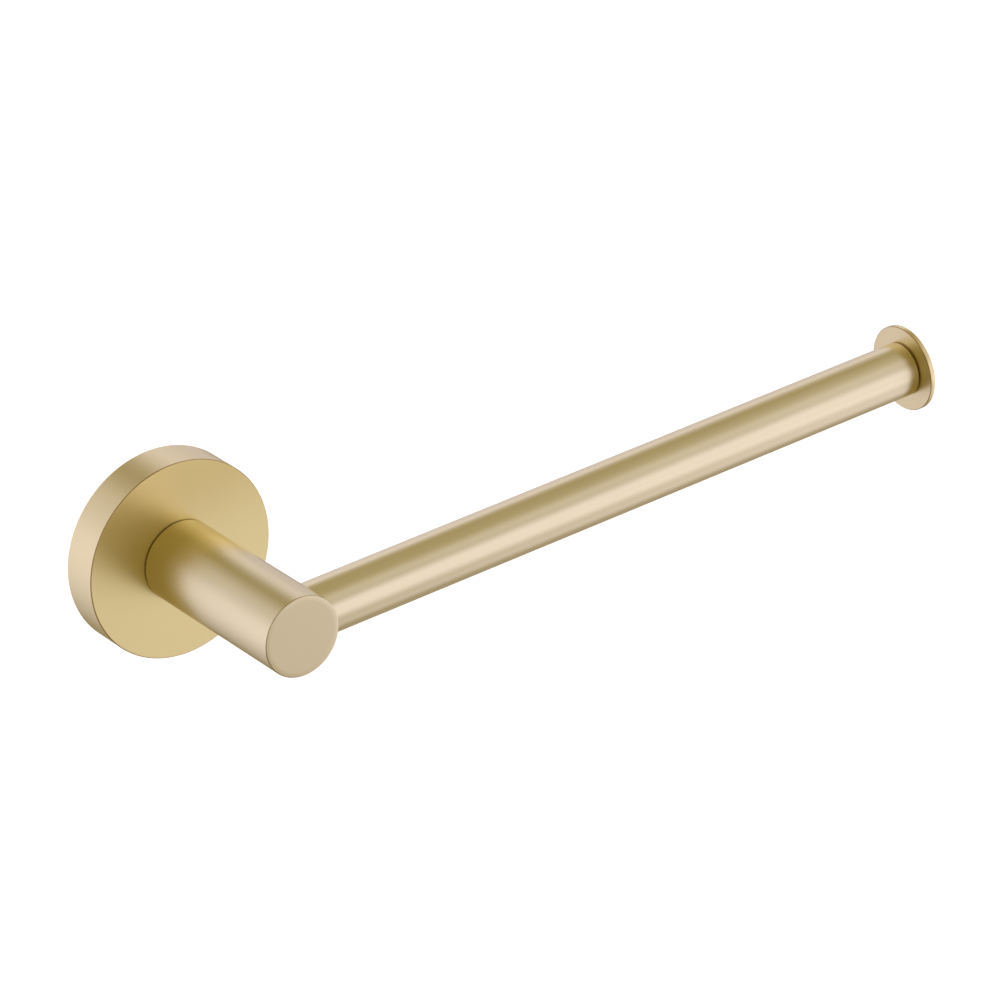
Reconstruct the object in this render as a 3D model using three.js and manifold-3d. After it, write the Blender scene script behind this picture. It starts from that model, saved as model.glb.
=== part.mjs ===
// Wall-mounted toilet paper holder with concealed fixing, in brushed gold.
//
// A stamped bracket is screwed to the wall. The holder is one assembly that slips over it: a thin round
// cover with a brass hub inside, a tubular post standing off the wall, and a long arm that leaves the side
// of the post and ends in a thin retaining disc. A set screw in the underside locks the hub to the bracket.
//
// Millimetres, +Z up. The origin is the centre of the bracket's back face, on the wall's surface.
// +Y points into the wall, so the post stands out along -Y, and the arm runs along +X.

import * as THREE from "three";
import { mergeVertices } from "three/addons/utils/BufferGeometryUtils.js";
import Module from "manifold-3d";

const wasm = await Module();
wasm.setup();

// ---- driving dimensions ----

const COVER_RADIUS = 27.5;
const COVER_DEPTH = 11;
const COVER_WALL = 1.2;

const POST_RADIUS = 11.1;
const POST_WALL = 1.6;
const POST_REACH = 66.1; // from the wall to the post's end face

const ARM_RADIUS = 7.5;
const ARM_WALL = 1.2;
const ARM_STANDOFF = 56.7; // from the wall to the arm's axis
const ARM_REACH = 205.4; // from the post's axis to the retaining disc

const DISC_RADIUS = 12;
const DISC_THICKNESS = 1.5;

const BRACKET_RADIUS = 20.2;
const BRACKET_DEPTH = 6;
const BRACKET_FLOOR = 1.5;
const BRACKET_RIM = 2;
const SLOT_WIDTH = 5;
const SLOT_LENGTH = 9;
const SLOT_OFFSET = 11.5; // from the bracket's centre to each slot's centre

const M5_RADIUS = 2.5;
const M6_RADIUS = 3;
const M8_RADIUS = 4;

const FIT_GAP = 0.1; // clearance between pieces that touch, fit or screw together
const EDGE = 0.3; // chamfer on a visible edge
const FINE_EDGE = 0.2;

// ---- dimensions that follow from those ----

const SEAT_WASHER_THICKNESS = 0.3;
const SEAT_WASHER_INSET = 0.5; // how far the washer stays inside the post's outline
const POST_FOOT = COVER_DEPTH + SEAT_WASHER_THICKNESS;
const POST_BORE = POST_RADIUS - POST_WALL;
const PLUG_RADIUS = POST_BORE - FIT_GAP;

const HUB_RADIUS = COVER_RADIUS - COVER_WALL - FIT_GAP;
const HUB_BACK = 0.6;
const HUB_FRONT = COVER_DEPTH - COVER_WALL;
const HUB_POCKET_RADIUS = BRACKET_RADIUS + 0.3;
const HUB_POCKET_FLOOR = BRACKET_DEPTH + 0.4;
const HUB_COUNTERBORE_RADIUS = 6.2;
const HUB_COUNTERBORE_FLOOR = 8;

const FLAT_WASHER = { inner: 3.2, outer: 6, thickness: 0.8 };
const LOCK_WASHER = { inner: 3.2, outer: 5.5, thickness: 1.4, split: 0.9 };
const FIXING_SCREW = { headRadius: 5.25, headHeight: 3.3, length: 16, socket: 4, socketDepth: 1.9 };
const FIXING_SCREW_SEAT = HUB_COUNTERBORE_FLOOR - FLAT_WASHER.thickness - LOCK_WASHER.thickness;

const ROOT_PLUG_LENGTH = 14.5;
const ROOT_PLUG_THREAD_DEPTH = 11.5;

const PIN_RADIUS = 1;
const PIN_LENGTH = 8.5;
const PIN_OFFSET = 7.85; // from the post's axis, straight up
const PIN_START = HUB_POCKET_FLOOR + 0.4;

const SET_SCREW = { length: 6, pointRadius: 1.75, cupRadius: 1.2, cupDepth: 0.6, socket: 2.5, socketDepth: 2.6 };
const SET_SCREW_STANDOFF = 4.2; // from the wall to the set screw's axis
const SET_SCREW_ACCESS_RADIUS = 3.1;

const NOSE_PLUG_LENGTH = 22;
const ARM_SEAT = 6.5; // from the post's axis to the flat that the arm's end seats on
const ARM_SOCKET_RADIUS = ARM_RADIUS + FIT_GAP;
const ARM_BORE = ARM_RADIUS - ARM_WALL;
const ARM_PLUG_RADIUS = ARM_BORE - FIT_GAP;
const ARM_ROOT = ARM_SEAT + FIT_GAP;
const ARM_TIP = ARM_REACH - FIT_GAP;
const ARM_ROOT_PLUG_LENGTH = 18;
const ARM_TIP_PLUG_LENGTH = 14;
const STUD_LENGTH = 26;
const STUD_START = -5.5; // the stud's inner end, from the post's axis
const SPIGOT_LENGTH = 9;

// Facets round a full turn.
const COARSE = 24;
const MEDIUM = 48;
const SMOOTH = 72;

// ---- finishes ----

function finish(color, roughness, metalness) {
  return new THREE.MeshStandardMaterial({ color, roughness, metalness });
}

const brushedGold = finish(0xcdb98c, 0.34, 1);
const rawBrass = finish(0xb89a5a, 0.5, 1);
const stainless = finish(0xb8b8ba, 0.35, 1);
const blackNylon = finish(0x1c1c1c, 0.7, 0);

// ---- shapes ----

// A turned solid about the local Y axis, from [radius, height] points that start and end on the axis.
function turned(points, segments) {
  const outline = points.map(([radius, height]) => new THREE.Vector2(radius, height));
  return new THREE.LatheGeometry(outline, segments);
}

// A turned ring: its outline of [radius, height] points closes on itself.
function turnedRing(points, segments) {
  return turned([...points, points[0]], segments);
}

// A round bar along Y from low to high, with both ends chamfered.
function bar(radius, low, high, chamfer, segments) {
  return turned(
    [
      [0, low],
      [radius - chamfer, low],
      [radius, low + chamfer],
      [radius, high - chamfer],
      [radius - chamfer, high],
      [0, high],
    ],
    segments,
  );
}

// A tube along Y from low to high, with its outer edges chamfered.
function tube(outer, inner, low, high, chamfer, segments) {
  return turnedRing(
    [
      [inner, low],
      [outer - chamfer, low],
      [outer, low + chamfer],
      [outer, high - chamfer],
      [outer - chamfer, high],
      [inner, high],
    ],
    segments,
  );
}

// Cutting tools: plain cylinders along one axis, centred on the other two coordinates.
function drillY(radius, low, high, x, z, segments) {
  return new THREE.CylinderGeometry(radius, radius, high - low, segments).translate(x, (low + high) / 2, z);
}

function drillX(radius, low, high, y, z, segments) {
  const tool = new THREE.CylinderGeometry(radius, radius, high - low, segments).rotateZ(-Math.PI / 2);
  return tool.translate((low + high) / 2, y, z);
}

function drillZ(radius, low, high, x, y, segments) {
  const tool = new THREE.CylinderGeometry(radius, radius, high - low, segments).rotateX(Math.PI / 2);
  return tool.translate(x, y, (low + high) / 2);
}

// A hexagon socket along Y, given its width across flats.
function hexDrillY(acrossFlats, low, high) {
  return drillY(acrossFlats / Math.sqrt(3), low, high, 0, 0, 6);
}

// A slot with round ends, cut along Y. Its long side runs along X, or along Z if it is upright.
function slotCutter(width, length, low, high, z, upright) {
  const radius = width / 2;
  const half = length / 2 - radius;
  const outline = new THREE.Shape();
  outline.absarc(half, 0, radius, -Math.PI / 2, Math.PI / 2, false);
  outline.absarc(-half, 0, radius, Math.PI / 2, (3 * Math.PI) / 2, false);
  const tool = new THREE.ExtrudeGeometry(outline, {
    depth: high - low,
    bevelEnabled: false,
    curveSegments: COARSE / 2,
  });
  if (upright) tool.rotateZ(Math.PI / 2);
  return tool.rotateX(Math.PI / 2).translate(0, high, z);
}

// ---- cutting ----

function solidOf(geometry) {
  const bare = new THREE.BufferGeometry();
  bare.setAttribute("position", geometry.getAttribute("position"));
  bare.setIndex(geometry.index);
  const merged = mergeVertices(bare, 1e-4);
  const corners = merged.index.array;
  const faces = [];
  for (let i = 0; i < corners.length; i += 3) {
    const [a, b, c] = corners.subarray(i, i + 3);
    if (a !== b && b !== c && c !== a) faces.push(a, b, c);
  }
  const mesh = new wasm.Mesh({
    numProp: 3,
    vertProperties: merged.getAttribute("position").array,
    triVerts: new Uint32Array(faces),
  });
  return new wasm.Manifold(mesh);
}

function geometryOf(solid) {
  const mesh = solid.getMesh();
  const geometry = new THREE.BufferGeometry();
  geometry.setAttribute("position", new THREE.BufferAttribute(mesh.vertProperties, 3));
  geometry.setIndex(new THREE.BufferAttribute(mesh.triVerts, 1));
  geometry.computeVertexNormals();
  return geometry;
}

function cut(geometry, ...tools) {
  return geometryOf(tools.reduce((left, tool) => left.subtract(solidOf(tool)), solidOf(geometry)));
}

// ---- wall bracket ----
// Here, as in every piece on the post's axis, local +Y points out of the wall and local +Z points down.

function wallBracket() {
  const dish = turned(
    [
      [0, 0],
      [BRACKET_RADIUS - 0.8, 0],
      [BRACKET_RADIUS, 0.8],
      [BRACKET_RADIUS, BRACKET_DEPTH - FINE_EDGE],
      [BRACKET_RADIUS - FINE_EDGE, BRACKET_DEPTH],
      [BRACKET_RADIUS - BRACKET_RIM, BRACKET_DEPTH],
      [BRACKET_RADIUS - BRACKET_RIM, BRACKET_FLOOR],
      [0, BRACKET_FLOOR],
    ],
    SMOOTH,
  );
  return cut(
    dish,
    slotCutter(SLOT_WIDTH, SLOT_LENGTH, -1, BRACKET_FLOOR + 1, -SLOT_OFFSET, true),
    slotCutter(SLOT_WIDTH, SLOT_LENGTH, -1, BRACKET_FLOOR + 1, SLOT_OFFSET, false),
  );
}

// ---- cover, hub and the screw that clamps them to the post ----

function coverFlange() {
  const inner = COVER_RADIUS - COVER_WALL;
  const boltHole = M6_RADIUS + 0.3;
  const shell = turnedRing(
    [
      [inner, 0],
      [COVER_RADIUS - FINE_EDGE, 0],
      [COVER_RADIUS, FINE_EDGE],
      [COVER_RADIUS, COVER_DEPTH - EDGE],
      [COVER_RADIUS - EDGE, COVER_DEPTH],
      [boltHole, COVER_DEPTH],
      [boltHole, HUB_FRONT],
      [inner, HUB_FRONT],
    ],
    SMOOTH,
  );
  return cut(
    shell,
    drillY(PIN_RADIUS + FIT_GAP, HUB_FRONT - 1, COVER_DEPTH + 1, 0, -PIN_OFFSET, COARSE),
    drillZ(SET_SCREW_ACCESS_RADIUS, inner - 2, COVER_RADIUS + 2, 0, SET_SCREW_STANDOFF, COARSE),
  );
}

function mountingHub() {
  const boltHole = M6_RADIUS + 0.3;
  const front = HUB_FRONT - FIT_GAP;
  const ring = turnedRing(
    [
      [HUB_POCKET_RADIUS, HUB_BACK],
      [HUB_RADIUS - FINE_EDGE, HUB_BACK],
      [HUB_RADIUS, HUB_BACK + FINE_EDGE],
      [HUB_RADIUS, front],
      [boltHole, front],
      [boltHole, HUB_COUNTERBORE_FLOOR],
      [HUB_COUNTERBORE_RADIUS, HUB_COUNTERBORE_FLOOR],
      [HUB_COUNTERBORE_RADIUS, HUB_POCKET_FLOOR],
      [HUB_POCKET_RADIUS, HUB_POCKET_FLOOR],
    ],
    SMOOTH,
  );
  return cut(
    ring,
    drillY(PIN_RADIUS + FIT_GAP, HUB_POCKET_FLOOR - 1, front + 1, 0, -PIN_OFFSET, COARSE),
    drillZ(M5_RADIUS + FIT_GAP, HUB_POCKET_RADIUS - 2, HUB_RADIUS + 2, 0, SET_SCREW_STANDOFF, COARSE),
  );
}

function postFixingScrew() {
  const { headRadius, headHeight, length, socket, socketDepth } = FIXING_SCREW;
  const seat = FIXING_SCREW_SEAT;
  const top = seat - headHeight;
  const button = turned(
    [
      [0, top],
      [headRadius * 0.55, top],
      [headRadius * 0.86, top + headHeight * 0.3],
      [headRadius, seat - headHeight * 0.3],
      [headRadius, seat],
      [M6_RADIUS, seat],
      [M6_RADIUS, seat + length - 0.8],
      [M6_RADIUS - 0.8, seat + length],
      [0, seat + length],
    ],
    MEDIUM,
  );
  return cut(button, hexDrillY(socket, top - 1, top + socketDepth));
}

function washer({ inner, outer, thickness }, back) {
  return turnedRing(
    [
      [inner, back],
      [outer, back],
      [outer, back + thickness],
      [inner, back + thickness],
    ],
    MEDIUM,
  );
}

function postLockWasher() {
  const { outer, thickness, split } = LOCK_WASHER;
  const slit = new THREE.BoxGeometry(outer + 1, thickness + 2, split).rotateX(0.5);
  slit.translate((outer + 1) / 2, FIXING_SCREW_SEAT + thickness / 2, 0);
  return cut(washer(LOCK_WASHER, FIXING_SCREW_SEAT), slit);
}

function locatingPin() {
  return bar(PIN_RADIUS, PIN_START, PIN_START + PIN_LENGTH, FINE_EDGE, COARSE).translate(0, 0, -PIN_OFFSET);
}

// The set screw stands on its own axis: local +Y runs from its cup point to its socket.
function setScrew() {
  const { length, pointRadius, cupRadius, cupDepth, socket, socketDepth } = SET_SCREW;
  const blank = turned(
    [
      [0, cupDepth],
      [cupRadius, 0],
      [pointRadius, 0],
      [M5_RADIUS, M5_RADIUS - pointRadius],
      [M5_RADIUS, length - 0.4],
      [M5_RADIUS - 0.4, length],
      [0, length],
    ],
    COARSE,
  );
  return cut(blank, hexDrillY(socket, length - socketDepth, length + 1));
}

// ---- post ----

function postSeatWasher() {
  const shape = {
    inner: M6_RADIUS + 0.4,
    outer: POST_RADIUS - SEAT_WASHER_INSET,
    thickness: SEAT_WASHER_THICKNESS,
  };
  const pinHole = drillY(PIN_RADIUS + FIT_GAP, COVER_DEPTH - 1, POST_FOOT + 1, 0, -PIN_OFFSET, COARSE);
  return cut(washer(shape, COVER_DEPTH), pinHole);
}

function postRootPlug() {
  const threadEnd = POST_FOOT + ROOT_PLUG_THREAD_DEPTH;
  const pinEnd = PIN_START + PIN_LENGTH + FIT_GAP;
  return cut(
    bar(PLUG_RADIUS, POST_FOOT, POST_FOOT + ROOT_PLUG_LENGTH, FINE_EDGE, MEDIUM),
    drillY(M6_RADIUS + FIT_GAP, POST_FOOT - 1, threadEnd, 0, 0, COARSE),
    drillY(PIN_RADIUS + FIT_GAP, POST_FOOT - 1, pinEnd, 0, -PIN_OFFSET, COARSE),
  );
}

// The arm's tube enters the post through a round hole in the +X side.
function postTube() {
  return cut(
    tube(POST_RADIUS, POST_BORE, POST_FOOT, POST_REACH, EDGE, SMOOTH),
    drillX(ARM_SOCKET_RADIUS, 0, POST_RADIUS + 5, ARM_STANDOFF, 0, SMOOTH),
  );
}

// A solid plug closes the post's front end, flush with the tube, and carries the arm: its side is spot-faced
// to seat the arm's end, and tapped for the stud.
function postNosePlug() {
  const back = POST_REACH - NOSE_PLUG_LENGTH;
  const threadEnd = STUD_START - FIT_GAP;
  return cut(
    bar(PLUG_RADIUS, back, POST_REACH, 0, SMOOTH),
    drillX(ARM_SOCKET_RADIUS, ARM_SEAT, POST_RADIUS, ARM_STANDOFF, 0, SMOOTH),
    drillX(M8_RADIUS + FIT_GAP, threadEnd, POST_RADIUS, ARM_STANDOFF, 0, COARSE),
  );
}

// ---- arm ----
// In these pieces local +Y runs along the arm, from the post's axis to the retaining disc.

function armStud() {
  return bar(M8_RADIUS, STUD_START, STUD_START + STUD_LENGTH, 0.8, COARSE);
}

function armRootPlug() {
  const end = ARM_ROOT + ARM_ROOT_PLUG_LENGTH;
  const blank = bar(ARM_PLUG_RADIUS, ARM_ROOT, end, FINE_EDGE, MEDIUM);
  return cut(blank, drillY(M8_RADIUS + FIT_GAP, ARM_ROOT - 1, end + 1, 0, 0, COARSE));
}

function armTube() {
  return tube(ARM_RADIUS, ARM_BORE, ARM_ROOT, ARM_TIP, FINE_EDGE, SMOOTH);
}

function armTipPlug() {
  const start = ARM_TIP - ARM_TIP_PLUG_LENGTH;
  const threadEnd = ARM_REACH - SPIGOT_LENGTH - 1;
  const blank = bar(ARM_PLUG_RADIUS, start, ARM_TIP, FINE_EDGE, MEDIUM);
  return cut(blank, drillY(M5_RADIUS + FIT_GAP, threadEnd, ARM_TIP + 1, 0, 0, COARSE));
}

// The retaining disc and the threaded spigot that screws into the arm's tip are one turned piece.
function endDisc() {
  const face = ARM_REACH;
  const back = ARM_REACH + DISC_THICKNESS;
  const chamfer = FINE_EDGE;
  return turned(
    [
      [0, face - SPIGOT_LENGTH],
      [M5_RADIUS - 0.5, face - SPIGOT_LENGTH],
      [M5_RADIUS, face - SPIGOT_LENGTH + 0.5],
      [M5_RADIUS, face],
      [DISC_RADIUS - chamfer, face],
      [DISC_RADIUS, face + chamfer],
      [DISC_RADIUS, back - chamfer],
      [DISC_RADIUS - chamfer, back],
      [0, back],
    ],
    SMOOTH,
  );
}

// ---- assembly ----

function place(group, name, geometry, material) {
  const mesh = new THREE.Mesh(geometry, material);
  mesh.name = name;
  group.add(mesh);
  return mesh;
}

const paperHolder = new THREE.Group();

// Turned half round X, so that local +Y points out of the wall and local +Z points down.
const alongPost = new THREE.Group();
alongPost.rotation.x = Math.PI;
paperHolder.add(alongPost);
place(alongPost, "wall_bracket", wallBracket(), stainless);
place(alongPost, "cover_flange", coverFlange(), brushedGold);
place(alongPost, "mounting_hub", mountingHub(), rawBrass);
place(alongPost, "post_fixing_screw", postFixingScrew(), stainless);
place(alongPost, "post_lock_washer", postLockWasher(), stainless);
const flatWasherBack = HUB_COUNTERBORE_FLOOR - FLAT_WASHER.thickness;
place(alongPost, "post_flat_washer", washer(FLAT_WASHER, flatWasherBack), stainless);
place(alongPost, "locating_pin", locatingPin(), stainless);
place(alongPost, "post_seat_washer", postSeatWasher(), blackNylon);
place(alongPost, "post_root_plug", postRootPlug(), rawBrass);
place(alongPost, "post_tube", postTube(), brushedGold);
place(alongPost, "post_nose_plug", postNosePlug(), brushedGold);

// The cup point just clears the bracket's rim, and the socket faces down.
const underCover = new THREE.Group();
underCover.position.set(0, SET_SCREW_STANDOFF, BRACKET_RADIUS + FIT_GAP);
underCover.rotation.x = Math.PI / 2;
alongPost.add(underCover);
place(underCover, "set_screw", setScrew(), stainless);

const alongArm = new THREE.Group();
alongArm.position.y = -ARM_STANDOFF;
alongArm.rotation.z = -Math.PI / 2;
paperHolder.add(alongArm);
place(alongArm, "arm_stud", armStud(), stainless);
place(alongArm, "arm_root_plug", armRootPlug(), rawBrass);
place(alongArm, "arm_tube", armTube(), brushedGold);
place(alongArm, "arm_tip_plug", armTipPlug(), rawBrass);
place(alongArm, "end_disc", endDisc(), brushedGold);

export default paperHolder;
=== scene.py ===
"""Looks, light and camera of a brushed-gold toilet paper holder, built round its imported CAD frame.

Metres, +Z up. The wall is the plane Y = 0, the post stands out along -Y and the arm runs along +X.
"""

import math

import bpy
import numpy as np
from mathutils import Matrix, Vector


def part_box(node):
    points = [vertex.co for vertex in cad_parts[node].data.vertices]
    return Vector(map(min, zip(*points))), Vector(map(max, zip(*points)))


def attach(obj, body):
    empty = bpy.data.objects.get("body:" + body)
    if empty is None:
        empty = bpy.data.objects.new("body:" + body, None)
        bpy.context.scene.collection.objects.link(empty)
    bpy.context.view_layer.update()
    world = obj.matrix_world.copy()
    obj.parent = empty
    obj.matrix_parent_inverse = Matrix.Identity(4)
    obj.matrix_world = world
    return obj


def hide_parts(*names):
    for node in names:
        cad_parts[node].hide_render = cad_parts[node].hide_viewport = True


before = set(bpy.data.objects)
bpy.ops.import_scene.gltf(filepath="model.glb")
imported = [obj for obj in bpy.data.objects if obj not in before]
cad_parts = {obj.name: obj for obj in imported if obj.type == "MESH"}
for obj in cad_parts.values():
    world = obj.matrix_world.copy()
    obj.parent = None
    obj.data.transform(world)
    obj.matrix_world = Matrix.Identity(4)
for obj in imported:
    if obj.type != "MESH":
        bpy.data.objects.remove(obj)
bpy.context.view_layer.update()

MM = 0.001

# ---- sizes, read from the CAD frame ----


def radius_and_span(node, along, across):
    """A turned node's radius, and how far it reaches from the origin along a signed axis such as "-y"."""
    low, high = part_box(node)
    radius = (getattr(high, across) - getattr(low, across)) / 2
    axis = along[-1]
    span = (getattr(low, axis), getattr(high, axis))
    if along[0] == "-":
        span = (-span[1], -span[0])
    return radius, span


COVER_RADIUS, (COVER_BACK, COVER_FRONT) = radius_and_span("cover_flange", "-y", "x")
POST_RADIUS, (POST_FOOT, POST_END) = radius_and_span("post_tube", "-y", "x")
ARM_RADIUS, (ARM_START, ARM_END) = radius_and_span("arm_tube", "+x", "z")
DISC_RADIUS, (SPIGOT_START, DISC_BACK) = radius_and_span("end_disc", "+x", "z")
BRACKET_RADIUS, (_, BRACKET_DEPTH) = radius_and_span("wall_bracket", "-y", "x")
HUB_RADIUS, (HUB_BACK, HUB_FRONT) = radius_and_span("mounting_hub", "-y", "x")
SEAT_RADIUS, (SEAT_BACK, SEAT_FRONT) = radius_and_span("post_seat_washer", "-y", "x")
NOSE_RADIUS, (NOSE_BACK, NOSE_FRONT) = radius_and_span("post_nose_plug", "-y", "z")
HEAD_RADIUS, (HEAD_TOP, SCREW_TIP) = radius_and_span("post_fixing_screw", "-y", "x")
LOCK_RADIUS, (LOCK_BACK, LOCK_FRONT) = radius_and_span("post_lock_washer", "-y", "z")
FLAT_RADIUS, (FLAT_BACK, FLAT_FRONT) = radius_and_span("post_flat_washer", "-y", "x")
PIN_RADIUS, (PIN_BACK, PIN_FRONT) = radius_and_span("locating_pin", "-y", "x")
SET_RADIUS, (SET_START, SET_END) = radius_and_span("set_screw", "-z", "x")
STUD_RADIUS, (STUD_START, STUD_END) = radius_and_span("arm_stud", "+x", "z")

ARM_STANDOFF = -(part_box("arm_tube")[0].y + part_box("arm_tube")[1].y) / 2
SET_STANDOFF = -(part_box("set_screw")[0].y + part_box("set_screw")[1].y) / 2
PIN_HEIGHT = (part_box("locating_pin")[0].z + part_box("locating_pin")[1].z) / 2

COVER_WALL = 1.2 * MM
POST_WALL = 1.6 * MM
ARM_WALL = 1.2 * MM
DISC_THICKNESS = 1.5 * MM
DISC_FRONT = DISC_BACK - DISC_THICKNESS
ARM_SEAT = 6.5 * MM  # from the post's axis to the flat that the arm's end seats on
HUB_POCKET_RADIUS = 20.5 * MM
HUB_POCKET_FLOOR = 6.4 * MM
HUB_COUNTERBORE_RADIUS = 6.2 * MM
HUB_COUNTERBORE_FLOOR = 8 * MM
BRACKET_FLOOR = 1.5 * MM
BRACKET_RIM = 2 * MM
SLOT_WIDTH = 5 * MM
SLOT_LENGTH = 9 * MM
SLOT_OFFSET = 11.5 * MM
BOLT_HOLE = 3.3 * MM
WASHER_BORE = 3.2 * MM
ACCESS_RADIUS = 3.1 * MM
RUNNING_GAP = 0.1 * MM

EDGE = 0.28 * MM  # rounding of an edge that shows
FINE_EDGE = 0.16 * MM
ARM_END_EDGE = 0.45 * MM  # leaves the fine groove between the arm and the disc
ROUND = 256  # facets round a piece that shows
SMALL = 72  # facets round a small or hidden piece

THREAD_DEPTH = 0.6  # of a thread's pitch
THREAD_SLOPE = 2.6  # how fast its flanks go down, from the crest to the root
THREAD_CREST = 0.3  # how far its flat crest reaches, on the same scale

# ---- axes: local (side, up, along) to the row frame ----


def axis(origin, side, up, along):
    columns = [Vector(v) for v in (side, up, along)]
    matrix = Matrix.Identity(4)
    for i, column in enumerate(columns):
        for j in range(3):
            matrix[j][i] = column[j]
    matrix.translation = Vector(origin)
    return matrix


OUT_OF_WALL = axis((0, 0, 0), (1, 0, 0), (0, 0, 1), (0, -1, 0))
ALONG_ARM = axis((0, -ARM_STANDOFF, 0), (0, 1, 0), (0, 0, 1), (1, 0, 0))
DOWN_TO_KEY = axis((0, -SET_STANDOFF, 0), (0, 1, 0), (1, 0, 0), (0, 0, -1))
ALONG_PIN = axis((0, 0, PIN_HEIGHT), (1, 0, 0), (0, 0, 1), (0, -1, 0))

# ---- outlines ----


def rounded(points, closed=False, steps=6):
    """An outline of (radius, height) from corners (radius, height, rounding)."""
    corners = [Vector(p[:2]) for p in points]
    outline = []
    for i, corner in enumerate(corners):
        rounding = points[i][2] if len(points[i]) > 2 else 0
        at_end = not closed and i in (0, len(corners) - 1)
        if not rounding or at_end:
            outline.append(tuple(corner))
            continue
        before = (corners[i - 1] - corner).normalized()
        after = (corners[(i + 1) % len(corners)] - corner).normalized()
        half = before.angle(after) / 2
        centre = corner + (before + after).normalized() * rounding / math.sin(half)
        first = corner + before * rounding / math.tan(half) - centre
        last = corner + after * rounding / math.tan(half) - centre
        turn = math.atan2(first.x * last.y - first.y * last.x, first.dot(last))
        for k in range(steps + 1):
            angle = turn * k / steps
            spoke = Vector(
                (
                    first.x * math.cos(angle) - first.y * math.sin(angle),
                    first.x * math.sin(angle) + first.y * math.cos(angle),
                )
            )
            outline.append(tuple(centre + spoke))
    return outline


def angles(count):
    return np.linspace(0, 2 * np.pi, count, endpoint=False)


def ring(radius, height, count):
    """Points round the axis. The radius is one number, or one for each point."""
    if np.isscalar(radius) and abs(radius) < 1e-9:
        return np.array([[0, 0, height]])
    turn = angles(count)
    heights = np.full(count, height)
    return np.column_stack([radius * np.cos(turn), radius * np.sin(turn), heights])


def turned(outline, count):
    return [ring(radius, height, count) for radius, height in outline]


def hexagon(across_flats, height, count):
    """Points of a hexagon, one at each of the same angles as a ring's."""
    turn = (angles(count) + np.pi / 6) % (np.pi / 3) - np.pi / 6
    return ring(across_flats / 2 / np.cos(turn), height, count)


def thread(radius, pitch, low, high, count, steps=10):
    """Rings of a V thread, which fades in and out over half a turn at its ends."""
    depth = THREAD_DEPTH * pitch
    rings = []
    for height in np.arange(low, high, pitch / steps):
        phase = ((height - low) / pitch - angles(count) / (2 * np.pi)) % 1
        groove = np.clip((0.5 - np.abs(phase - 0.5)) * THREAD_SLOPE - THREAD_CREST, 0, 1)
        fade = np.clip(min(height - low, high - height) / (pitch / 2), 0, 1)
        rings.append(ring(radius - depth * groove * fade, height, count))
    return rings


# ---- meshes ----

SHARP_DEGREES = 38  # a sharper edge than this breaks the shading
LARGE_FACE_WEIGHT = 85  # large faces set the shading of the small ones beside them
FLAT_ENOUGH = 0.7  # how squarely a face must look along the axis to get the flat material


def skin(rings, loop=False):
    """Vertices and faces of the skin over a row of rings.

    A ring of one point is a pole. An open end is capped.
    """
    starts = np.cumsum([0] + [len(r) for r in rings])
    faces = []
    pairs = [(i, i + 1) for i in range(len(rings) - 1)]
    if loop:
        pairs.append((len(rings) - 1, 0))

    def step(i, j, following):
        """Two neighbouring vertices of a ring, or its pole twice."""
        if len(rings[i]) == 1:
            return starts[i], starts[i]
        return starts[i] + j, starts[i] + following

    for low, high in pairs:
        count = max(len(rings[low]), len(rings[high]))
        for j in range(count):
            following = (j + 1) % count
            a, b = step(low, j, following)
            d, c = step(high, j, following)
            faces.append([v for i, v in enumerate((a, b, c, d)) if v != (a, b, c, d)[i - 1]])
    if not loop:
        if len(rings[0]) > 1:
            faces.append(list(range(starts[1] - 1, -1, -1)))
        if len(rings[-1]) > 1:
            faces.append(list(range(starts[-2], starts[-1])))
    return np.vstack(rings), faces


def solid(name, rings, matrix, loop=False):
    vertices, faces = skin(rings, loop)
    mesh = bpy.data.meshes.new(name)
    mesh.from_pydata([matrix @ Vector(v) for v in vertices], [], faces)
    mesh.validate()
    piece = bpy.data.objects.new(name, mesh)
    bpy.context.scene.collection.objects.link(piece)
    return piece


def rod(radius, low, high, matrix, count=SMALL):
    """A plain round cutter."""
    outline = [(0, low), (radius, low), (radius, high), (0, high)]
    return solid("cutter", turned(outline, count), matrix)


def slot_cutter(width, length, low, high, height, upright):
    """A cutter with round ends. Its long side is level, or upright."""
    turn = angles(SMALL) + np.pi / SMALL
    reach = (length - width) / 2 * np.sign(np.cos(turn))
    long_way, short_way = width / 2 * np.cos(turn) + reach, width / 2 * np.sin(turn)
    side, up = (-short_way, long_way) if upright else (long_way, short_way)
    rings = [np.column_stack([side, up + height, np.full(SMALL, end)]) for end in (low, high)]
    return solid("cutter", rings, OUT_OF_WALL)


def settle(piece):
    """Applies the piece's modifiers."""
    graph = bpy.context.evaluated_depsgraph_get()
    mesh = bpy.data.meshes.new_from_object(piece.evaluated_get(graph))
    piece.modifiers.clear()
    old = piece.data
    piece.data = mesh
    bpy.data.meshes.remove(old)
    mesh.name = piece.name


def cut(piece, *cutters):
    for cutter in cutters:
        tool = piece.modifiers.new("cut", "BOOLEAN")
        tool.operation = "DIFFERENCE"
        tool.solver = "EXACT"
        tool.object = cutter
        settle(piece)
        bpy.data.objects.remove(cutter)
    return piece


def shade(piece):
    """Smooth shading that stays flat on flat faces and breaks at sharp edges."""
    mesh = piece.data
    mesh.shade_smooth()
    mesh.set_sharp_from_angle(angle=math.radians(SHARP_DEGREES))
    weigh = piece.modifiers.new("weigh", "WEIGHTED_NORMAL")
    weigh.weight = LARGE_FACE_WEIGHT
    weigh.keep_sharp = True
    settle(piece)
    return piece


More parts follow.
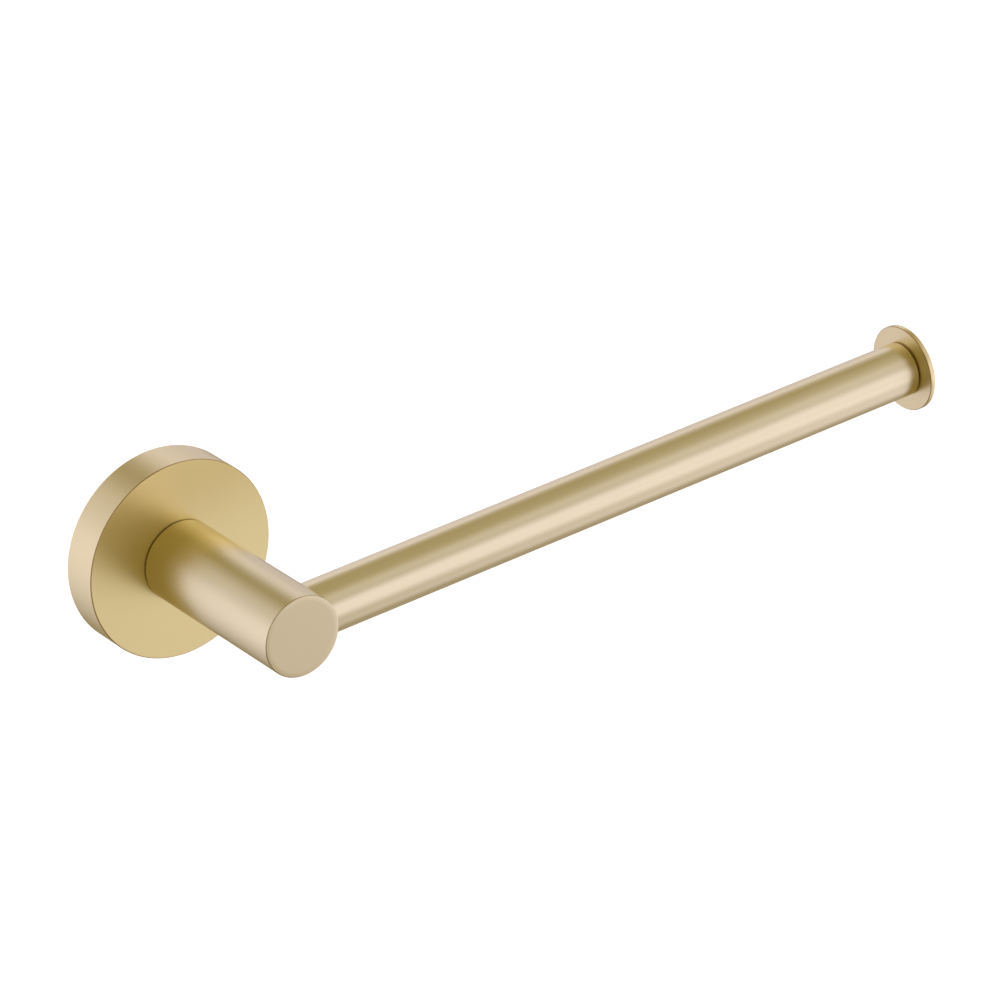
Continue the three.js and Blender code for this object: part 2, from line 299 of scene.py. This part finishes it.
def dress(piece, body, replaced, round_material, flat_material=None, along=None):
    """Finishes a piece: shading, materials, its body and the CAD nodes that it replaces."""
    shade(piece)
    mesh = piece.data
    mesh.materials.clear()
    mesh.materials.append(round_material)
    if flat_material:
        mesh.materials.append(flat_material)
        for face in mesh.polygons:
            face.material_index = int(abs(face.normal.dot(Vector(along))) > FLAT_ENOUGH)
    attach(piece, body)
    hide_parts(*replaced)
    return piece


# ---- materials ----


class Paint:
    """A material of shader nodes, built step by step."""

    def __init__(self, name):
        self.material = bpy.data.materials.new(name)
        self.material.use_nodes = True
        self.nodes = self.material.node_tree.nodes
        self.links = self.material.node_tree.links
        self.shader = self.nodes["Principled BSDF"]

    def add(self, kind, **settings):
        node = self.nodes.new(kind)
        for key, value in settings.items():
            setattr(node, key, value)
        return node

    def link(self, source, target):
        self.links.new(source, target)
        return target

    def value(self, source, low, high):
        """A value from 0 to 1, stretched to run from low to high."""
        node = self.add("ShaderNodeMapRange")
        node.inputs["To Min"].default_value = low
        node.inputs["To Max"].default_value = high
        self.link(source, node.inputs["Value"])
        return node.outputs["Result"]

    def noise(self, scale, detail=3, stretch=(1, 1, 1)):
        """Noise in the object's own coordinates, in metres."""
        place = self.add("ShaderNodeTexCoord")
        mapping = self.add("ShaderNodeMapping")
        mapping.inputs["Scale"].default_value = stretch
        self.link(place.outputs["Object"], mapping.inputs["Vector"])
        node = self.add("ShaderNodeTexNoise")
        node.inputs["Scale"].default_value = scale
        node.inputs["Detail"].default_value = detail
        self.link(mapping.outputs["Vector"], node.inputs["Vector"])
        return node.outputs["Fac"]

    def from_axis(self, matrix):
        """The distance of a point from an axis, and its height along it."""
        place = self.add("ShaderNodeTexCoord")
        away = self.add("ShaderNodeVectorMath", operation="SUBTRACT")
        away.inputs[1].default_value = matrix.translation
        self.link(place.outputs["Object"], away.inputs[0])
        flatten = self.add("ShaderNodeVectorMath", operation="MULTIPLY")
        flatten.inputs[1].default_value = [1 - abs(c) for c in matrix.col[2][:3]]
        self.link(away.outputs["Vector"], flatten.inputs[0])
        length = self.add("ShaderNodeVectorMath", operation="LENGTH")
        self.link(flatten.outputs["Vector"], length.inputs[0])
        along = self.add("ShaderNodeVectorMath", operation="DOT_PRODUCT")
        along.inputs[1].default_value = matrix.col[2][:3]
        self.link(away.outputs["Vector"], along.inputs[0])
        return length.outputs["Value"], along.outputs["Value"]

    def rings(self, matrix, spacing, detail=3):
        """Noise that changes only with the distance from an axis, as turning marks do."""
        distance, _ = self.from_axis(matrix)
        node = self.add("ShaderNodeTexNoise", noise_dimensions="1D")
        node.inputs["Scale"].default_value = 1 / spacing
        node.inputs["Detail"].default_value = detail
        self.link(distance, node.inputs["W"])
        return node.outputs["Fac"]

    def edge(self, matrix, radius, height, width):
        """1 on a turned edge, at a radius and height on an axis, and 0 a width away from it."""
        distance, along = self.from_axis(matrix)
        point = self.add("ShaderNodeCombineXYZ")
        self.link(distance, point.inputs["X"])
        self.link(along, point.inputs["Y"])
        gap = self.add("ShaderNodeVectorMath", operation="DISTANCE")
        gap.inputs[1].default_value = (radius, height, 0)
        self.link(point.outputs["Vector"], gap.inputs[0])
        fade = self.add("ShaderNodeMapRange", interpolation_type="SMOOTHSTEP")
        fade.inputs["From Min"].default_value = width
        fade.inputs["From Max"].default_value = width / 3
        self.link(gap.outputs["Value"], fade.inputs["Value"])
        return fade.outputs["Result"]

    def mix(self, factor, first, second):
        """A color between two. Each is a constant or another node's color."""
        node = self.add("ShaderNodeMix", data_type="RGBA")
        self.link(factor, node.inputs["Factor"])
        for color, socket in ((first, node.inputs["A"]), (second, node.inputs["B"])):
            if isinstance(color, (tuple, list)):
                socket.default_value = (*color, 1)
            else:
                self.link(color, socket)
        return node.outputs["Result"]

    def bump(self, height, strength, distance):
        node = self.add("ShaderNodeBump")
        node.inputs["Strength"].default_value = strength
        node.inputs["Distance"].default_value = distance
        self.link(height, node.inputs["Height"])
        self.link(node.outputs["Normal"], self.shader.inputs["Normal"])

    def set(self, **values):
        for key, value in values.items():
            self.shader.inputs[key.replace("_", " ")].default_value = value


# One gold finish, tinted surface by surface: the lighter, darker and warmer tints are painted light and shade
# that each surface takes.
POST_GOLD = (0.84, 0.74, 0.42)
ARM_GOLD = (0.89, 0.79, 0.455)
RIM_GOLD = (0.89, 0.77, 0.41)
FACE_GOLD = (0.98, 0.83, 0.37)  # the cover's face, satin; painted lighter and warmer than the rim for the light it takes
END_GOLD = (0.82, 0.72, 0.4)  # the post's end, painted a little darker than the post's side
DISC_GOLD = (0.78, 0.67, 0.36)
DISC_RIM_GOLD = (0.86, 0.73, 0.35)
EDGE_PAINTED_SHADE = (0.5, 0.4, 0.26)  # painted shade along the turned edges and in the groove between the arm and the disc
FOOT_PAINTED_SHADE = (0.82, 0.8, 0.66)  # painted shade and painted reflection of the cover at the post's foot, fading over 18 mm

BRASS_LIGHT, BRASS_DEEP = (0.78, 0.6, 0.3), (0.66, 0.48, 0.22)
PLATE_LIGHT, PLATE_DEEP = (0.69, 0.67, 0.57), (0.6, 0.58, 0.49)
STEEL_LIGHT, STEEL_DEEP = (0.71, 0.69, 0.59), (0.58, 0.56, 0.47)
# Near-black nylon of the seat washer; its dark ring under the post's foot is also a painted shade line where
# the post meets the cover.
NYLON_LIGHT, NYLON_DEEP = (0.024, 0.023, 0.022), (0.012, 0.012, 0.013)
MACHINED = 0.36  # roughness of the turned brass and the pressed plate


def tones(color, spread=0.02):
    """A slightly deeper and a slightly lighter tone of a color."""
    return [[c * (1 - spread) for c in color], [min(c * (1 + spread), 0.98) for c in color]]


def gold_color(paint, color, matrix, painted_shade_edges):
    """Gold that varies a little, with painted shade deepening it along the given edges (radius, height,
    width, tone).
    """
    tone = paint.mix(paint.noise(45, 2), *tones(color))
    # each edge is painted deeper: painted shade
    for *place, depth in painted_shade_edges:
        tone = paint.mix(paint.edge(matrix, *place), tone, [c * d for c, d in zip(color, depth)])
    paint.link(tone, paint.shader.inputs["Base Color"])


def brushed_gold(name, color, matrix, painted_shade_edges, axis_letter, grain_stretch):
    """A round bar, satin-brushed round its girth, so that reflections smear along its length."""
    paint = Paint(name)
    paint.set(Metallic=1.0, Anisotropic=0.4, Anisotropic_Rotation=0.25)
    gold_color(paint, color, matrix, painted_shade_edges)
    grain = paint.noise(1, 2, grain_stretch)
    paint.link(paint.value(grain, 0.266, 0.276), paint.shader.inputs["Roughness"])
    paint.bump(grain, 0.001, 0.01 * MM)
    tangent = paint.add("ShaderNodeTangent", direction_type="RADIAL", axis=axis_letter)
    paint.link(tangent.outputs["Tangent"], paint.shader.inputs["Tangent"])
    return paint.material


def satin_gold(name, color, roughness, matrix, painted_shade_edges):
    """A flat turned face, satin all over, with faint turning marks."""
    paint = Paint(name)
    paint.set(Metallic=1.0)
    gold_color(paint, color, matrix, painted_shade_edges)
    marks = paint.rings(matrix, 0.3 * MM, 2)
    paint.link(paint.value(marks, roughness - 0.01, roughness + 0.01), paint.shader.inputs["Roughness"])
    paint.bump(marks, 0.002, 0.01 * MM)
    return paint.material


def turned_metal(name, light, deep, matrix):
    """Bare machined metal with turning marks and faint stains."""
    paint = Paint(name)
    paint.set(Metallic=1.0)
    cloud = paint.noise(160, 4)
    paint.link(paint.mix(cloud, deep, light), paint.shader.inputs["Base Color"])
    marks = paint.rings(matrix, 0.2 * MM)
    paint.link(paint.value(marks, MACHINED - 0.07, MACHINED + 0.07), paint.shader.inputs["Roughness"])
    paint.bump(marks, 0.15, 0.03 * MM)
    return paint.material


def fastener_steel(name):
    """Plain stainless of small screws and washers, slightly mottled."""
    paint = Paint(name)
    paint.set(Metallic=1.0)
    cloud = paint.noise(700, 4)
    paint.link(paint.mix(cloud, STEEL_DEEP, STEEL_LIGHT), paint.shader.inputs["Base Color"])
    paint.link(paint.value(cloud, 0.22, 0.4), paint.shader.inputs["Roughness"])
    paint.bump(paint.noise(5000, 2), 0.08, 0.02 * MM)
    return paint.material


def moulded_nylon(name):
    paint = Paint(name)
    cloud = paint.noise(900, 3)
    paint.link(paint.mix(cloud, NYLON_DEEP, NYLON_LIGHT), paint.shader.inputs["Base Color"])
    paint.link(paint.value(cloud, 0.55, 0.75), paint.shader.inputs["Roughness"])
    paint.bump(paint.noise(6000, 2), 0.2, 0.02 * MM)
    return paint.material


GRAIN_ROUND_Y = (60, 6000, 60)
GRAIN_ROUND_X = (6000, 60, 60)
# Where the gold is painted deeper: painted shade along the turned edges, and painted shade and reflection of
# the cover at the post's foot.
COVER_SHADE_EDGES = [(COVER_RADIUS, COVER_FRONT, 0.32 * MM, EDGE_PAINTED_SHADE)]
POST_SHADE_EDGES = [(POST_RADIUS, POST_END, 0.22 * MM, EDGE_PAINTED_SHADE), (POST_RADIUS, POST_FOOT, 18 * MM, FOOT_PAINTED_SHADE)]
ARM_SHADE_EDGES = [(ARM_RADIUS, ARM_END, 0.6 * MM, EDGE_PAINTED_SHADE)]
DISC_SHADE_EDGES = [(DISC_RADIUS, DISC_FRONT, 0.24 * MM, EDGE_PAINTED_SHADE), (DISC_RADIUS, DISC_BACK, 0.14 * MM, EDGE_PAINTED_SHADE)]
gold_post = brushed_gold("gold_post_side", POST_GOLD, OUT_OF_WALL, POST_SHADE_EDGES, "Y", GRAIN_ROUND_Y)
gold_cover = brushed_gold("gold_cover_rim", RIM_GOLD, OUT_OF_WALL, COVER_SHADE_EDGES, "Y", GRAIN_ROUND_Y)
gold_arm = brushed_gold("gold_arm_side", ARM_GOLD, ALONG_ARM, ARM_SHADE_EDGES, "X", GRAIN_ROUND_X)
gold_disc = brushed_gold("gold_disc_rim", DISC_RIM_GOLD, ALONG_ARM, DISC_SHADE_EDGES, "X", GRAIN_ROUND_X)
gold_cover_face = satin_gold("gold_cover_face", FACE_GOLD, 0.36, OUT_OF_WALL, COVER_SHADE_EDGES)
gold_end_face = satin_gold("gold_end_face", END_GOLD, 0.28, OUT_OF_WALL, POST_SHADE_EDGES)
gold_disc_face = satin_gold("gold_disc_face", DISC_GOLD, 0.32, ALONG_ARM, DISC_SHADE_EDGES)
brass = turned_metal("turned_brass", BRASS_LIGHT, BRASS_DEEP, OUT_OF_WALL)
arm_brass = turned_metal("turned_brass_arm", BRASS_LIGHT, BRASS_DEEP, ALONG_ARM)
bracket_steel = turned_metal("pressed_stainless", PLATE_LIGHT, PLATE_DEEP, OUT_OF_WALL)
steel = fastener_steel("fastener_stainless")
shade_line_nylon = moulded_nylon("black_nylon")

# ---- cover, post, arm and disc ----


def build_cover():
    inner = COVER_RADIUS - COVER_WALL
    inside = COVER_FRONT - COVER_WALL
    outline = rounded(
        [
            (inner, COVER_BACK, FINE_EDGE),
            (COVER_RADIUS, COVER_BACK, FINE_EDGE),
            (COVER_RADIUS, COVER_FRONT, EDGE),
            (BOLT_HOLE, COVER_FRONT, FINE_EDGE),
            (BOLT_HOLE, inside, FINE_EDGE),
            (inner, inside, EDGE),
        ],
        closed=True,
    )
    piece = solid("cover_shell", turned(outline, ROUND), OUT_OF_WALL, loop=True)
    cut(
        piece,
        rod(PIN_RADIUS + RUNNING_GAP, inside - MM, COVER_FRONT + MM, ALONG_PIN),
        rod(ACCESS_RADIUS, inner - 3 * MM, COVER_RADIUS + 2 * MM, DOWN_TO_KEY),
    )
    dress(piece, "holder", ["cover_flange"], gold_cover, gold_cover_face, (0, 1, 0))


def build_post():
    bore = POST_RADIUS - POST_WALL
    outline = rounded(
        [
            (bore, POST_FOOT),
            (POST_RADIUS, POST_FOOT, FINE_EDGE),
            (POST_RADIUS, POST_END, EDGE),
            (bore, POST_END),
        ],
        closed=True,
    )
    tube = solid("post_shell", turned(outline, ROUND), OUT_OF_WALL, loop=True)
    cut(tube, rod(ARM_RADIUS + RUNNING_GAP / 10, 0, POST_RADIUS + 5 * MM, ALONG_ARM, ROUND))
    dress(tube, "holder", ["post_tube"], gold_post, gold_end_face, (0, 1, 0))

    lip = 1.5 * MM
    plug_outline = rounded(
        [
            (0, NOSE_BACK),
            (NOSE_RADIUS, NOSE_BACK, EDGE),
            (NOSE_RADIUS, NOSE_FRONT - lip),
            (bore, NOSE_FRONT - lip),
            (bore, NOSE_FRONT),
            (0, NOSE_FRONT),
        ]
    )
    plug = solid("nose_plug", turned(plug_outline, ROUND), OUT_OF_WALL)
    cut(
        plug,
        rod(ARM_RADIUS + RUNNING_GAP, ARM_SEAT, POST_RADIUS, ALONG_ARM),
        rod(STUD_RADIUS + RUNNING_GAP, STUD_START - RUNNING_GAP, POST_RADIUS, ALONG_ARM),
    )
    dress(plug, "holder", ["post_nose_plug"], gold_end_face)


def build_arm():
    bore = ARM_RADIUS - ARM_WALL
    outline = rounded(
        [
            (bore, ARM_START, FINE_EDGE),
            (ARM_RADIUS, ARM_START, FINE_EDGE),
            (ARM_RADIUS, ARM_END, ARM_END_EDGE),
            (bore, ARM_END, FINE_EDGE),
        ],
        closed=True,
    )
    tube = solid("arm_shell", turned(outline, ROUND), ALONG_ARM, loop=True)
    dress(tube, "holder", ["arm_tube"], gold_arm, gold_disc_face, (1, 0, 0))


def build_disc():
    spigot = 2.5 * MM
    pitch = 0.8 * MM
    thread_start = SPIGOT_START + 0.5 * MM
    thread_end = DISC_FRONT - 0.6 * MM
    nose = [(0, SPIGOT_START), (spigot - 0.5 * MM, SPIGOT_START), (spigot, thread_start)]
    face = rounded(
        [
            (spigot, thread_end),
            (spigot, DISC_FRONT),
            (DISC_RADIUS, DISC_FRONT, FINE_EDGE),
            (DISC_RADIUS, DISC_BACK, FINE_EDGE),
            (0, DISC_BACK),
        ]
    )
    rings = [
        *turned(nose, ROUND),
        *thread(spigot, pitch, thread_start + pitch / 10, thread_end, ROUND),
        *turned(face, ROUND),
    ]
    disc = solid("retaining_disc", rings, ALONG_ARM)
    dress(disc, "holder", ["end_disc"], gold_disc, gold_disc_face, (1, 0, 0))


def build_seat_washer():
    bore, rounding = BOLT_HOLE + RUNNING_GAP, 0.08 * MM
    outline = rounded(
        [
            (bore, SEAT_BACK, rounding),
            (SEAT_RADIUS, SEAT_BACK, rounding),
            (SEAT_RADIUS, SEAT_FRONT, rounding),
            (bore, SEAT_FRONT, rounding),
        ],
        closed=True,
    )
    washer = solid("seat_washer", turned(outline, ROUND), OUT_OF_WALL, loop=True)
    cut(washer, rod(PIN_RADIUS + RUNNING_GAP, SEAT_BACK - MM, SEAT_FRONT + MM, ALONG_PIN))
    # a thin washer between post and cover, whose black ring is a painted shade line round the post's foot
    dress(washer, "holder", ["post_seat_washer"], shade_line_nylon)


# ---- bracket, hub and fasteners ----


def build_bracket():
    inner = BRACKET_RADIUS - BRACKET_RIM
    outline = rounded(
        [
            (0, 0),
            (BRACKET_RADIUS, 0, 0.8 * MM),
            (BRACKET_RADIUS, BRACKET_DEPTH, 0.3 * MM),
            (inner, BRACKET_DEPTH, 0.3 * MM),
            (inner, BRACKET_FLOOR, 0.8 * MM),
            (0, BRACKET_FLOOR),
        ]
    )
    piece = solid("bracket_plate", turned(outline, ROUND), OUT_OF_WALL)
    low, high = -MM, BRACKET_FLOOR + MM
    cut(
        piece,
        slot_cutter(SLOT_WIDTH, SLOT_LENGTH, low, high, SLOT_OFFSET, True),
        slot_cutter(SLOT_WIDTH, SLOT_LENGTH, low, high, -SLOT_OFFSET, False),
    )
    dress(piece, "wall_mount", ["wall_bracket"], bracket_steel)


def build_hub():
    outline = rounded(
        [
            (HUB_POCKET_RADIUS, HUB_BACK, 0.3 * MM),
            (HUB_RADIUS, HUB_BACK, 0.3 * MM),
            (HUB_RADIUS, HUB_FRONT, 0.4 * MM),
            (BOLT_HOLE, HUB_FRONT, FINE_EDGE),
            (BOLT_HOLE, HUB_COUNTERBORE_FLOOR, FINE_EDGE),
            (HUB_COUNTERBORE_RADIUS, HUB_COUNTERBORE_FLOOR, 0.3 * MM),
            (HUB_COUNTERBORE_RADIUS, HUB_POCKET_FLOOR, FINE_EDGE),
            (HUB_POCKET_RADIUS, HUB_POCKET_FLOOR, 0.5 * MM),
        ],
        closed=True,
    )
    piece = solid("hub_body", turned(outline, ROUND), OUT_OF_WALL, loop=True)
    cut(
        piece,
        rod(PIN_RADIUS + RUNNING_GAP, HUB_POCKET_FLOOR - MM, HUB_FRONT + MM, ALONG_PIN),
        rod(SET_RADIUS + RUNNING_GAP, HUB_POCKET_RADIUS - 2 * MM, HUB_RADIUS + 2 * MM, DOWN_TO_KEY),
    )
    dress(piece, "holder", ["mounting_hub"], brass)


def build_set_screw():
    pitch, socket, depth = 0.8 * MM, 2.5 * MM, 2.6 * MM
    cup, cup_depth, point, bevel = 1.2 * MM, 0.6 * MM, 1.75 * MM, 0.4 * MM
    shoulder = SET_START + SET_RADIUS - point
    crest_end = SET_END - bevel
    tip = [(0, SET_START + cup_depth), (cup, SET_START), (point, SET_START), (SET_RADIUS, shoulder)]
    rings = [
        *turned(tip, SMALL),
        *thread(SET_RADIUS, pitch, shoulder + pitch / 10, crest_end, SMALL),
        ring(SET_RADIUS, crest_end, SMALL),
        ring(SET_RADIUS - bevel, SET_END, SMALL),
        hexagon(socket + 0.1 * MM, SET_END, SMALL),
        hexagon(socket, SET_END - 0.1 * MM, SMALL),
        hexagon(socket, SET_END - depth, SMALL),
        ring(0, SET_END - depth - 0.5 * MM, SMALL),
    ]
    piece = solid("grub_screw", rings, DOWN_TO_KEY)
    dress(piece, "set_screw", ["set_screw"], steel)


def build_fixing_screw():
    pitch, socket, depth, shank = 1.0 * MM, 4 * MM, 1.9 * MM, 3 * MM
    seat = LOCK_BACK
    head_height = seat - HEAD_TOP
    crown = 0.55 * HEAD_RADIUS
    thread_start = seat + 1.5 * MM
    thread_end = SCREW_TIP - 0.8 * MM
    dome = []
    for turn in np.linspace(0, math.pi / 2, 10):
        radius = crown + (HEAD_RADIUS - crown) * math.sin(turn)
        height = HEAD_TOP + 0.8 * head_height * (1 - math.cos(turn))
        dome.append((radius, height))
    rings = [
        ring(0, HEAD_TOP + depth + 0.6 * MM, SMALL),
        hexagon(socket, HEAD_TOP + depth, SMALL),
        hexagon(socket, HEAD_TOP + 0.1 * MM, SMALL),
        hexagon(socket + 0.1 * MM, HEAD_TOP, SMALL),
        *turned(dome, SMALL),
        *turned([(HEAD_RADIUS, seat), (shank, seat), (shank, thread_start)], SMALL),
        *thread(shank, pitch, thread_start + pitch / 10, thread_end, SMALL),
        *turned([(shank, thread_end), (shank - 0.8 * MM, SCREW_TIP), (0, SCREW_TIP)], SMALL),
    ]
    piece = solid("button_screw", rings, OUT_OF_WALL)
    dress(piece, "holder", ["post_fixing_screw"], steel)


def washer_outline(bore, radius, back, front, rounding):
    corners = [
        (bore, back, rounding),
        (radius, back, rounding),
        (radius, front, rounding),
        (bore, front, rounding),
    ]
    return rounded(corners, closed=True, steps=3)


def build_washers():
    outline = washer_outline(WASHER_BORE, FLAT_RADIUS, FLAT_BACK, FLAT_FRONT, 0.12 * MM)
    flat = solid("flat_washer", turned(outline, SMALL), OUT_OF_WALL, loop=True)
    dress(flat, "holder", ["post_flat_washer"], steel)

    outline = washer_outline(WASHER_BORE, LOCK_RADIUS, LOCK_BACK, LOCK_FRONT, 0.15 * MM)
    split = 0.11  # half the split, in radians
    slant = 0.3 * MM
    sections = []
    for turn in np.linspace(split, 2 * np.pi - split, SMALL):
        lean = slant * (turn - np.pi) / np.pi / LOCK_RADIUS
        section = [
            (
                radius * math.cos(turn + lean * (height - LOCK_BACK) / MM),
                radius * math.sin(turn + lean * (height - LOCK_BACK) / MM),
                height,
            )
            for radius, height in reversed(outline)
        ]
        sections.append(np.array(section))
    split_ring = solid("split_washer", sections, OUT_OF_WALL)
    dress(split_ring, "holder", ["post_lock_washer"], steel)


def build_pin_and_stud():
    outline = rounded(
        [(0, PIN_BACK), (PIN_RADIUS, PIN_BACK, 0.3 * MM), (PIN_RADIUS, PIN_FRONT, 0.3 * MM), (0, PIN_FRONT)]
    )
    pin = solid("dowel_pin", turned(outline, SMALL), ALONG_PIN)
    dress(pin, "holder", ["locating_pin"], steel)

    pitch, bevel = 1.25 * MM, 0.8 * MM
    low, high = STUD_START + bevel, STUD_END - bevel
    rings = [
        *turned([(0, STUD_START), (STUD_RADIUS - bevel, STUD_START), (STUD_RADIUS, low)], SMALL),
        *thread(STUD_RADIUS, pitch, low + pitch / 10, high, SMALL),
        *turned([(STUD_RADIUS, high), (STUD_RADIUS - bevel, STUD_END), (0, STUD_END)], SMALL),
    ]
    stud = solid("threaded_stud", rings, ALONG_ARM)
    dress(stud, "holder", ["arm_stud"], steel)


def paint_hidden_plugs():
    """The brazed plugs keep their CAD shapes and get the turned brass."""
    plugs = {"post_root_plug": brass, "arm_root_plug": arm_brass, "arm_tip_plug": arm_brass}
    for node, material in plugs.items():
        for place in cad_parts[node].material_slots:
            place.material = material


# ---- camera, stage and light ----

AIM = Vector((86.9, -31.7, -6.6)) * MM
CAMERA_DISTANCE = 1.336
CAMERA_AZIMUTH = math.radians(-34.86)
CAMERA_ELEVATION = math.radians(27.9)
CAMERA_ROLL = math.radians(-4.06)
CAMERA_LENS = 182.1
FLOOR_DROP = 0.7  # the usual height of such a holder above the floor
FLOOR_CURVE = 2
STUDIO_RADIUS = 6
STUDIO_HEIGHT = 5


def direction(azimuth, elevation):
    """A unit vector from angles in degrees: azimuth 0 is in front, 90 to the right, 180 behind the wall."""
    a, e = math.radians(azimuth), math.radians(elevation)
    return Vector((math.sin(a) * math.cos(e), -math.cos(a) * math.cos(e), math.sin(e)))


def make_camera():
    back = direction(math.degrees(CAMERA_AZIMUTH), math.degrees(CAMERA_ELEVATION))
    right = Vector((math.cos(CAMERA_AZIMUTH), math.sin(CAMERA_AZIMUTH), 0))
    up = back.cross(right)
    rolled_right = right * math.cos(CAMERA_ROLL) + up * math.sin(CAMERA_ROLL)
    rolled_up = up * math.cos(CAMERA_ROLL) - right * math.sin(CAMERA_ROLL)
    data = bpy.data.cameras.new("camera")
    data.sensor_width = 36
    data.lens = CAMERA_LENS
    data.clip_end = 50
    camera = bpy.data.objects.new("camera", data)
    camera.matrix_world = axis(AIM + back * CAMERA_DISTANCE, rolled_right, rolled_up, back)
    bpy.context.scene.collection.objects.link(camera)
    bpy.context.scene.camera = camera


def make_floor():
    """A pale studio floor that curves up into a backdrop all round. Only the camera sees it."""
    corners = [(0, -FLOOR_DROP), (STUDIO_RADIUS, -FLOOR_DROP, FLOOR_CURVE), (STUDIO_RADIUS, STUDIO_HEIGHT)]
    vertices, faces = skin(turned(rounded(corners, steps=16), SMALL))
    open_topped = faces[:-1]
    mesh = bpy.data.meshes.new("floor")
    mesh.from_pydata([tuple(v) for v in vertices], [], open_topped)
    mesh.shade_smooth()
    floor = bpy.data.objects.new("floor", mesh)
    bpy.context.scene.collection.objects.link(floor)
    paint = Paint("pale_floor")
    cloud = paint.noise(3, 2)
    paint.link(paint.mix(cloud, (0.93, 0.93, 0.93), (0.96, 0.96, 0.96)), paint.shader.inputs["Base Color"])
    paint.set(Roughness=0.9, Emission_Color=(1, 1, 1, 1), Emission_Strength=0.75)
    mesh.materials.append(paint.material)
    floor.visible_glossy = False
    floor.visible_diffuse = False
    floor.visible_shadow = False


class Sky:
    """The studio round the object: a world of soft panels of light, placed by azimuth and elevation."""

    def __init__(self):
        world = bpy.data.worlds.new("studio")
        bpy.context.scene.world = world
        world.use_nodes = True
        self.nodes = world.node_tree.nodes
        self.links = world.node_tree.links
        self.background = self.nodes["Background"]
        self.look = self.nodes.new("ShaderNodeTexCoord").outputs["Generated"]
        split = self.nodes.new("ShaderNodeSeparateXYZ")
        self.links.new(self.look, split.inputs["Vector"])
        self.elevation = self.math("ARCSINE", split.outputs["Z"])
        self.sum = None

    def math(self, operation, first, second=0):
        node = self.nodes.new("ShaderNodeMath")
        node.operation = operation
        for socket, value in zip(node.inputs, (first, second)):
            if isinstance(value, (int, float)):
                socket.default_value = value
            else:
                self.links.new(value, socket)
        return node.outputs["Value"]

    def dot(self, vector):
        node = self.nodes.new("ShaderNodeVectorMath")
        node.operation = "DOT_PRODUCT"
        node.inputs[1].default_value = vector
        self.links.new(self.look, node.inputs[0])
        return node.outputs["Value"]

    def fade(self, angle, full, none):
        """1 while an angle in radians is nearer than full degrees, then softly down to 0 at none degrees."""
        node = self.nodes.new("ShaderNodeMapRange")
        node.interpolation_type = "SMOOTHSTEP"
        node.inputs["From Min"].default_value = math.radians(none)
        node.inputs["From Max"].default_value = math.radians(full)
        self.links.new(angle, node.inputs["Value"])
        return node.outputs["Result"]

    def add(self, amount, color, strength):
        node = self.nodes.new("ShaderNodeVectorMath")
        node.operation = "SCALE"
        node.inputs[0].default_value = [c * strength for c in color]
        self.links.new(amount, node.inputs["Scale"])
        if self.sum is None:
            self.sum = node.outputs["Vector"]
            return
        total = self.nodes.new("ShaderNodeVectorMath")
        total.operation = "ADD"
        self.links.new(self.sum, total.inputs[0])
        self.links.new(node.outputs["Vector"], total.inputs[1])
        self.sum = total.outputs["Vector"]

    def room(self, color, strength, none, full):
        """Light from all round that fades in from one elevation to another."""
        self.add(self.fade(self.elevation, full, none), color, strength)

    def panel(self, color, strength, middle, half_size, soft):
        """A soft box: its middle, its half width and half height, and how far its sides and ends fade out."""
        front = direction(middle[0], 0)
        side = direction(middle[0] + 90, 0)
        across = self.math("ABSOLUTE", self.math("ARCTAN2", self.dot(side), self.dot(front)))
        along = self.math("ABSOLUTE", self.math("SUBTRACT", self.elevation, math.radians(middle[1])))
        wide = self.fade(across, half_size[0], half_size[0] + soft[0])
        high = self.fade(along, half_size[1], half_size[1] + soft[1])
        self.add(self.math("MULTIPLY", wide, high), color, strength)

    def finish(self):
        self.links.new(self.sum, self.background.inputs["Color"])


COOL = (1, 1, 1.62)
WARM = (1.2, 1, 0.53)


def make_light():
    """Cool soft boxes in a warm, dim room. The camera's side is left dark."""
    sky = Sky()
    sky.room(WARM, 0.25, -91, -90)
    sky.room(WARM, 0.06, 10, 70)
    sky.panel(COOL, 0.56, (10, 0), (5, 7), (45, 28))
    sky.panel(COOL, 0.48, (58, -8), (8, 6), (40, 32))
    sky.panel(COOL, 0.67, (70, -36), (8, 8), (36, 26))
    sky.panel(COOL, 0.1, (35, -28), (5, 3), (30, 22))
    sky.panel(COOL, 0.45, (65, 30), (15, 8), (40, 28))
    sky.panel(COOL, 0.68, (-115, 0), (10, 12), (22, 35))
    sky.panel(COOL, 0.38, (-145, 0), (10, 12), (28, 40))
    sky.panel(COOL, 0.38, (147, 10), (14, 17), (18, 14))
    sky.panel(COOL, 0.18, (140, 30), (8, 6), (22, 14))
    sky.panel(COOL, 0.06, (116, 55), (10, 4), (22, 16))
    sky.panel(COOL, 0.22, (175, 0), (8, 10), (22, 28))
    sky.panel(COOL, 0.12, (128, -48), (10, 8), (30, 20))
    sky.panel(COOL, 0.23, (-140, 46), (15, 8), (40, 26))
    sky.panel(COOL, 0.24, (-155, -40), (10, 6), (32, 24))
    sky.finish()


build_cover()
build_post()
build_arm()
build_disc()
build_seat_washer()
build_bracket()
build_hub()
build_set_screw()
build_fixing_screw()
build_washers()
build_pin_and_stud()
paint_hidden_plugs()
make_camera()
make_floor()
make_light()
bpy.context.scene.view_settings.view_transform = "Standard"
